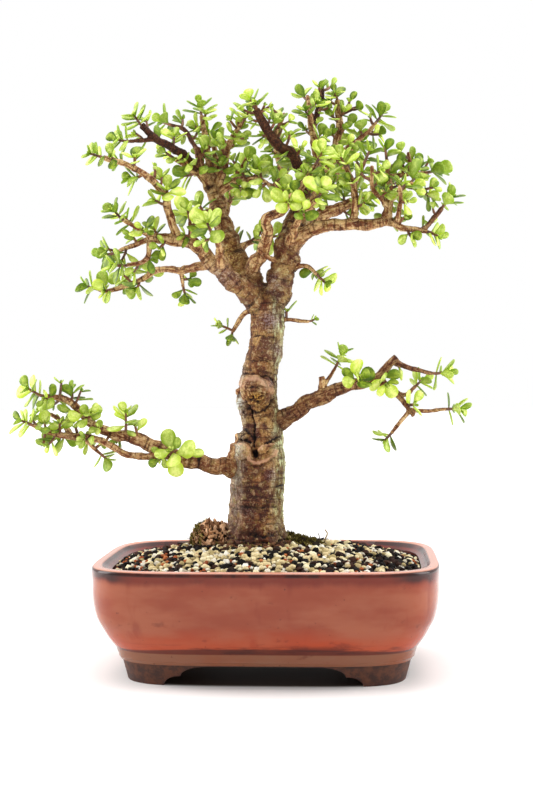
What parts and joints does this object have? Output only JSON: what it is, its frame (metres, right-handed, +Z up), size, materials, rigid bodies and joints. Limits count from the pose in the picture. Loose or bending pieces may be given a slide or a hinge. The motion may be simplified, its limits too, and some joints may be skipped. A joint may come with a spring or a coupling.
{
  "type": "dwarf jade bonsai",
  "caption": "dwarf jade bonsai tree with a thick knobby trunk, spreading branches and small round leaves, in a low red-brown glazed pot on cut-out feet",
  "frame": {"origin": "on the ground under the middle of the whole object's box, which is 13 mm left of the pot's own axis", "axes": "+Z up along the trunk, X across the pot's long side with the low left branch at -X, +Y away from the front"},
  "size_m": [0.2774, 0.16, 0.3628],
  "materials": {
    "glaze": "oxblood to brown glaze with a dark lip and a bare dark foot",
    "mix": "gravelly bonsai mix: pale pebbles, black lava and a few orange bits",
    "bark": "knobby tan and grey bark with ring scars",
    "leaf": "thick satin succulent leaf, green with paler mottling",
    "root_mound": "old root mound with bark bits and moss",
    "moss": "dark low moss",
    "dry_sprout": "dry pale stem",
    "screen_plastic": "black moulded mesh",
    "wire": "bare aluminium wire"
  },
  "bodies": {
    "root": {"pot": "glaze", "growing_mix": "mix", "trunk_and_branches": "bark", "root_mound": "root_mound", "moss_right": "moss", "moss_back": "moss", "dry_sprout": "dry_sprout", "drain_screen_left": "screen_plastic", "drain_screen_right": "screen_plastic", "screen_staple_left": "wire", "screen_staple_right": "wire", "shoot_low_left_tip": "leaf", "shoot_low_left_bend": "leaf", "shoot_low_left_rise": "leaf", "shoot_low_left_near": "leaf", "shoot_low_left_end": "leaf", "shoot_low_left_drop": "leaf", "shoot_low_left_stub": "leaf", "shoot_low_right_top": "leaf", "shoot_low_right_near": "leaf", "shoot_low_right_out": "leaf", "shoot_low_right_down": "leaf", "shoot_low_right_mid": "leaf", "shoot_low_right_shoot": "leaf", "shoot_left_riser": "leaf", "shoot_left_low_arm": "leaf", "shoot_left_end_up": "leaf", "shoot_left_end_out": "leaf", "shoot_left_hook": "leaf", "shoot_left_pin": "leaf", "shoot_left_hanger": "leaf", "shoot_front_left": "leaf", "shoot_back_left_arm": "leaf", "shoot_back_left_up": "leaf", "shoot_back_left_mid": "leaf", "shoot_back_left_right": "leaf", "shoot_back_left_bough": "leaf", "shoot_dark_bough": "leaf", "shoot_dark_bough_side": "leaf", "shoot_thin_bough": "leaf", "shoot_back_left_twig": "leaf", "shoot_far_back": "leaf", "shoot_back_low": "leaf", "shoot_elbow": "leaf", "shoot_right_post": "leaf", "shoot_right_post_side": "leaf", "shoot_right_riser": "leaf", "shoot_right_cross": "leaf", "shoot_right_tip_up": "leaf", "shoot_right_tip": "leaf", "shoot_right_top_arm": "leaf", "shoot_right_back": "leaf", "shoot_top_bough": "leaf", "shoot_top_right_post": "leaf", "shoot_top_far_right": "leaf", "shoot_front_mid": "leaf", "shoot_back_limb": "leaf", "shoot_back_right": "leaf", "shoot_leader_twig": "leaf"}
  },
  "joints": []
}
